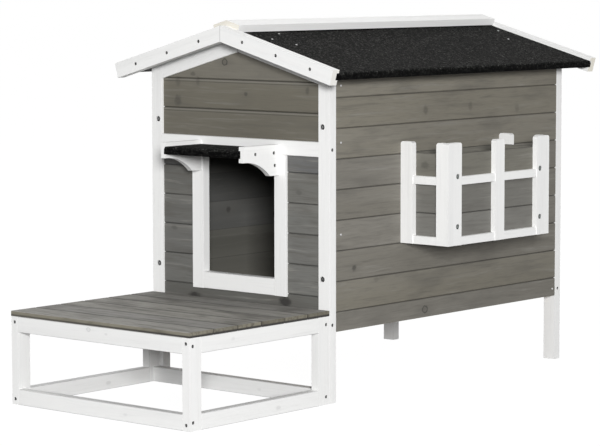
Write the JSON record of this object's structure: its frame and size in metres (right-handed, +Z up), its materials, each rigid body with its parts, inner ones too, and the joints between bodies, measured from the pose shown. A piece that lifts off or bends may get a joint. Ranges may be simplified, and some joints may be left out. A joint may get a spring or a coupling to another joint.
{
  "type": "cat house",
  "caption": "Raised timber cat house with a board-clad cabin, open doorway under a small canopy, front terrace, side flower box and a felted gable roof that lifts on hinges.",
  "frame": {"origin": "centre of the overall bounding box at ground level", "axes": "+Z up, -Y out of the doorway over the terrace, +X towards the wall with the flower box"},
  "size_m": [0.682, 1.29, 0.7827],
  "materials": {
    "white_paint": "opaque white paint",
    "grey_stain": "translucent grey stain",
    "deck_stain": "dark grey stain",
    "bare_wood": "unpainted softwood",
    "black_stain": "black stain",
    "roofing_felt": "black mineral-surfaced roofing felt",
    "zinc": "zinc plated"
  },
  "bodies": {
    "house": {"canopy_board": "black_stain", "canopy_bracket_left": "white_paint", "canopy_bracket_right": "white_paint", "canopy_felt": "roofing_felt", "canopy_screws": "zinc", "deck_boards": "deck_stain", "door_sill": "white_paint", "door_stile_left": "white_paint", "door_stile_right": "white_paint", "floor_boards": "bare_wood", "frame_screws": "zinc", "front_bottom_rail": "white_paint", "front_gable_boards": "grey_stain", "front_mid_rail": "white_paint", "front_rake_rails": "white_paint", "front_wall_boards": "grey_stain", "hinge_pins": "zinc", "hinge_wall_leaves": "zinc", "hinge_wall_screws": "zinc", "left_wall_boards": "grey_stain", "left_wall_framing": "bare_wood", "planter_corner_battens": "bare_wood", "planter_pickets": "white_paint", "planter_rails": "white_paint", "planter_screws": "zinc", "planter_trough_boards": "grey_stain", "post_front_left": "white_paint", "post_front_right": "white_paint", "post_rear_left": "white_paint", "post_rear_right": "white_paint", "rear_bottom_rail": "white_paint", "rear_rake_rails": "white_paint", "rear_wall_boards": "grey_stain", "right_wall_boards": "grey_stain", "right_wall_framing": "bare_wood", "terrace_front_rails": "white_paint", "terrace_left_rails": "white_paint", "terrace_leg_front_left": "white_paint", "terrace_leg_front_right": "white_paint", "terrace_leg_rear_left": "white_paint", "terrace_leg_rear_right": "white_paint", "terrace_rear_rails": "white_paint", "terrace_right_rails": "white_paint", "wall_nails": "zinc"},
    "roof": {"bargeboard_front_left": "white_paint", "bargeboard_front_right": "white_paint", "bargeboard_rear_left": "white_paint", "bargeboard_rear_right": "white_paint", "bargeboard_screws": "zinc", "felt_nails": "zinc", "hinge_roof_leaves": "zinc", "hinge_roof_screws": "zinc", "ridge_beam": "bare_wood", "ridge_felt": "roofing_felt", "ridge_strip_left": "white_paint", "ridge_strip_right": "white_paint", "roof_felt_left": "roofing_felt", "roof_felt_right": "roofing_felt", "roof_panel_left": "black_stain", "roof_panel_right": "black_stain"}
  },
  "joints": [
    {"name": "roof_lift", "type": "hinge", "parent": "house", "child": "roof", "pos_m": [-0.2888, 0, 0.67518], "axis": [0, -1, 0], "range_deg": [0, 70]}
  ]
}
